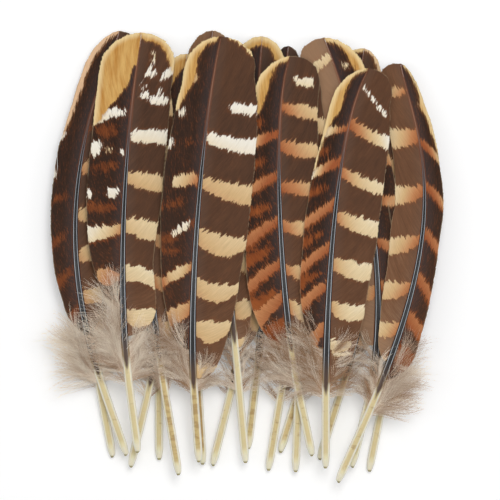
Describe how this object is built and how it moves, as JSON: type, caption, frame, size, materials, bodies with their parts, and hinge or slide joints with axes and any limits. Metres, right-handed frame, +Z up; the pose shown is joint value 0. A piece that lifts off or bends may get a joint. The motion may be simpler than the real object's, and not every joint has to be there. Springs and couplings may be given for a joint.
{
  "type": "bundle of wing quills for quill pens",
  "caption": "Fanned pile of loose, uncut barred wing quills with hollow barrels, tapering shafts, two vanes each and tufts of down; the ones on top lift off.",
  "frame": {"origin": "middle of the pile's outline, on the table", "axes": "+Y towards the tips of the quills, +X to the right seen from above, +Z up"},
  "size_m": [0.165, 0.1904, 0.018],
  "materials": {
    "shaft": "satin",
    "vanes": "matte",
    "down": "matte"
  },
  "bodies": {
    "pile": {"quill_01_shaft": "shaft", "quill_01_vanes": "vanes", "quill_01_down": "down", "quill_02_shaft": "shaft", "quill_02_vanes": "vanes", "quill_02_down": "down", "quill_03_shaft": "shaft", "quill_03_vanes": "vanes", "quill_03_down": "down", "quill_04_shaft": "shaft", "quill_04_vanes": "vanes", "quill_04_down": "down", "quill_05_shaft": "shaft", "quill_05_vanes": "vanes", "quill_05_down": "down", "quill_06_shaft": "shaft", "quill_06_vanes": "vanes", "quill_06_down": "down", "quill_07_shaft": "shaft", "quill_07_vanes": "vanes", "quill_07_down": "down", "quill_08_shaft": "shaft", "quill_08_vanes": "vanes", "quill_08_down": "down", "quill_09_shaft": "shaft", "quill_09_vanes": "vanes", "quill_09_down": "down", "quill_10_shaft": "shaft", "quill_10_vanes": "vanes", "quill_10_down": "down", "quill_11_shaft": "shaft", "quill_11_vanes": "vanes", "quill_11_down": "down", "quill_12_shaft": "shaft", "quill_12_vanes": "vanes", "quill_12_down": "down", "quill_13_shaft": "shaft", "quill_13_vanes": "vanes", "quill_13_down": "down", "quill_14_shaft": "shaft", "quill_14_vanes": "vanes", "quill_14_down": "down", "quill_15_shaft": "shaft", "quill_15_vanes": "vanes", "quill_15_down": "down", "quill_16_shaft": "shaft", "quill_16_vanes": "vanes", "quill_16_down": "down"},
    "quill_17": {"quill_17_shaft": "shaft", "quill_17_vanes": "vanes", "quill_17_down": "down"},
    "quill_18": {"quill_18_shaft": "shaft", "quill_18_vanes": "vanes", "quill_18_down": "down"},
    "quill_19": {"quill_19_shaft": "shaft", "quill_19_vanes": "vanes", "quill_19_down": "down"},
    "quill_20": {"quill_20_shaft": "shaft", "quill_20_vanes": "vanes", "quill_20_down": "down"}
  },
  "joints": [
    {"name": "lift_quill_17", "type": "slide", "parent": "pile", "child": "quill_17", "axis": [0, 0, 1], "range_m": [0, 0.06]},
    {"name": "lift_quill_18", "type": "slide", "parent": "pile", "child": "quill_18", "axis": [0, 0, 1], "range_m": [0, 0.06]},
    {"name": "lift_quill_19", "type": "slide", "parent": "pile", "child": "quill_19", "axis": [0, 0, 1], "range_m": [0, 0.06]},
    {"name": "lift_quill_20", "type": "slide", "parent": "pile", "child": "quill_20", "axis": [0, 0, 1], "range_m": [0, 0.06]}
  ]
}
